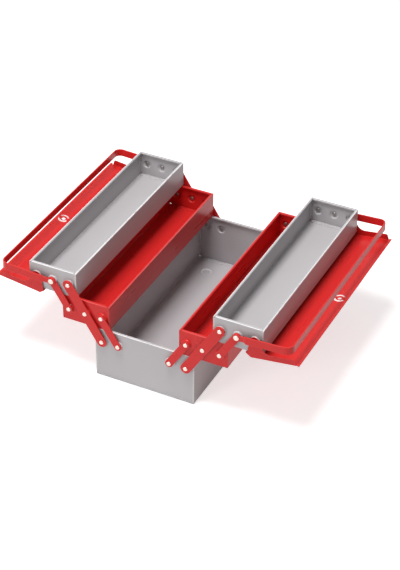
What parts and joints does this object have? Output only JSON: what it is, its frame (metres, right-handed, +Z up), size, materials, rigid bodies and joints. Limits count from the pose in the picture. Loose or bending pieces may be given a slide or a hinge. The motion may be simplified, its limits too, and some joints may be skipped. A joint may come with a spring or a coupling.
{
  "type": "cantilever tool box",
  "caption": "Cantilever tool box of folded steel sheet, with stacked trays on parallel links, hinged lids and strap handles, standing fully open.",
  "frame": {"origin": "under the middle of the base, on the surface it stands on", "axes": "+Z up, +Y from the front end to the rear end, +X across the box to the right-hand trays"},
  "size_m": [0.6036, 0.4452, 0.2125],
  "materials": {
    "grey_paint": "silver-grey semi-gloss enamel",
    "red_paint": "red semi-gloss enamel",
    "plated_rivet": "bright plated steel, worn smooth"
  },
  "bodies": {
    "base": {"base_shell": "grey_paint", "base_front_end": "grey_paint", "base_rear_end": "grey_paint", "base_rivets": "plated_rivet"},
    "left_long_links": {"left_long_link_front": "red_paint", "left_long_link_rear": "red_paint"},
    "left_inner_links": {"left_inner_link_front": "red_paint", "left_inner_link_rear": "red_paint"},
    "left_middle_tray": {"left_middle_shell": "red_paint", "left_middle_front_end": "red_paint", "left_middle_rear_end": "red_paint", "left_middle_rivets": "plated_rivet"},
    "left_outer_links": {"left_outer_link_front": "red_paint", "left_outer_link_rear": "red_paint"},
    "left_upper_tray": {"left_upper_shell": "grey_paint", "left_upper_front_end": "grey_paint", "left_upper_rear_end": "grey_paint", "left_link_rivets": "plated_rivet", "left_handle_rivets": "plated_rivet", "left_lid_rivets": "plated_rivet"},
    "left_lid": {"left_lid": "red_paint"},
    "left_handle": {"left_handle": "red_paint"},
    "right_long_links": {"right_long_link_front": "red_paint", "right_long_link_rear": "red_paint"},
    "right_inner_links": {"right_inner_link_front": "red_paint", "right_inner_link_rear": "red_paint"},
    "right_middle_tray": {"right_middle_shell": "red_paint", "right_middle_front_end": "red_paint", "right_middle_rear_end": "red_paint", "right_middle_rivets": "plated_rivet"},
    "right_outer_links": {"right_outer_link_front": "red_paint", "right_outer_link_rear": "red_paint"},
    "right_upper_tray": {"right_upper_shell": "grey_paint", "right_upper_front_end": "grey_paint", "right_upper_rear_end": "grey_paint", "right_link_rivets": "plated_rivet", "right_handle_rivets": "plated_rivet", "right_lid_rivets": "plated_rivet"},
    "right_lid": {"right_lid": "red_paint"},
    "right_handle": {"right_handle": "red_paint"}
  },
  "joints": [
    {"name": "left_fold", "type": "hinge", "parent": "base", "child": "left_long_links", "pos_m": [-0.085, 0, 0.0814], "axis": [0, 1, 0], "range_deg": [0, 64.3]},
    {"name": "left_middle_level", "type": "hinge", "parent": "left_long_links", "child": "left_middle_tray", "pos_m": [-0.118, 0, 0.1339], "axis": [0, 1, 0], "range_deg": [-64.3, 0]},
    {"name": "left_upper_level", "type": "hinge", "parent": "left_long_links", "child": "left_upper_tray", "pos_m": [-0.151, 0, 0.1864], "axis": [0, 1, 0], "range_deg": [-64.3, 0]},
    {"name": "left_inner_link_swing", "type": "hinge", "parent": "base", "child": "left_inner_links", "pos_m": [-0.052, 0, 0.0814], "axis": [0, 1, 0], "range_deg": [0, 64.3]},
    {"name": "left_outer_link_swing", "type": "hinge", "parent": "left_middle_tray", "child": "left_outer_links", "pos_m": [-0.151, 0, 0.1339], "axis": [0, 1, 0], "range_deg": [0, 64.3]},
    {"name": "left_lid_hinge", "type": "hinge", "parent": "left_upper_tray", "child": "left_lid", "pos_m": [-0.217, 0, 0.1864], "axis": [0, 1, 0], "range_deg": [0, 172.5]},
    {"name": "left_handle_pivot", "type": "hinge", "parent": "left_upper_tray", "child": "left_handle", "pos_m": [-0.184, 0, 0.1864], "axis": [0, 1, 0], "range_deg": [0, 112.3]},
    {"name": "right_fold", "type": "hinge", "parent": "base", "child": "right_long_links", "pos_m": [0.085, 0, 0.0814], "axis": [0, -1, 0], "range_deg": [0, 64.3]},
    {"name": "right_middle_level", "type": "hinge", "parent": "right_long_links", "child": "right_middle_tray", "pos_m": [0.118, 0, 0.1339], "axis": [0, -1, 0], "range_deg": [-64.3, 0]},
    {"name": "right_upper_level", "type": "hinge", "parent": "right_long_links", "child": "right_upper_tray", "pos_m": [0.151, 0, 0.1864], "axis": [0, -1, 0], "range_deg": [-64.3, 0]},
    {"name": "right_inner_link_swing", "type": "hinge", "parent": "base", "child": "right_inner_links", "pos_m": [0.052, 0, 0.0814], "axis": [0, -1, 0], "range_deg": [0, 64.3]},
    {"name": "right_outer_link_swing", "type": "hinge", "parent": "right_middle_tray", "child": "right_outer_links", "pos_m": [0.151, 0, 0.1339], "axis": [0, -1, 0], "range_deg": [0, 64.3]},
    {"name": "right_lid_hinge", "type": "hinge", "parent": "right_upper_tray", "child": "right_lid", "pos_m": [0.217, 0, 0.1864], "axis": [0, -1, 0], "range_deg": [0, 172.5]},
    {"name": "right_handle_pivot", "type": "hinge", "parent": "right_upper_tray", "child": "right_handle", "pos_m": [0.184, 0, 0.1864], "axis": [0, -1, 0], "range_deg": [0, 112.3]}
  ],
  "couplings": [
    {"joint": "left_middle_level", "follows": "left_fold", "ratio": -1},
    {"joint": "left_upper_level", "follows": "left_fold", "ratio": -1},
    {"joint": "left_inner_link_swing", "follows": "left_fold", "ratio": 1},
    {"joint": "left_outer_link_swing", "follows": "left_fold", "ratio": 1},
    {"joint": "left_lid_hinge", "follows": "left_fold", "ratio": 2.6827},
    {"joint": "left_handle_pivot", "follows": "left_fold", "ratio": 1.7465},
    {"joint": "right_middle_level", "follows": "right_fold", "ratio": -1},
    {"joint": "right_upper_level", "follows": "right_fold", "ratio": -1},
    {"joint": "right_inner_link_swing", "follows": "right_fold", "ratio": 1},
    {"joint": "right_outer_link_swing", "follows": "right_fold", "ratio": 1},
    {"joint": "right_lid_hinge", "follows": "right_fold", "ratio": 2.6827},
    {"joint": "right_handle_pivot", "follows": "right_fold", "ratio": 1.7465}
  ]
}
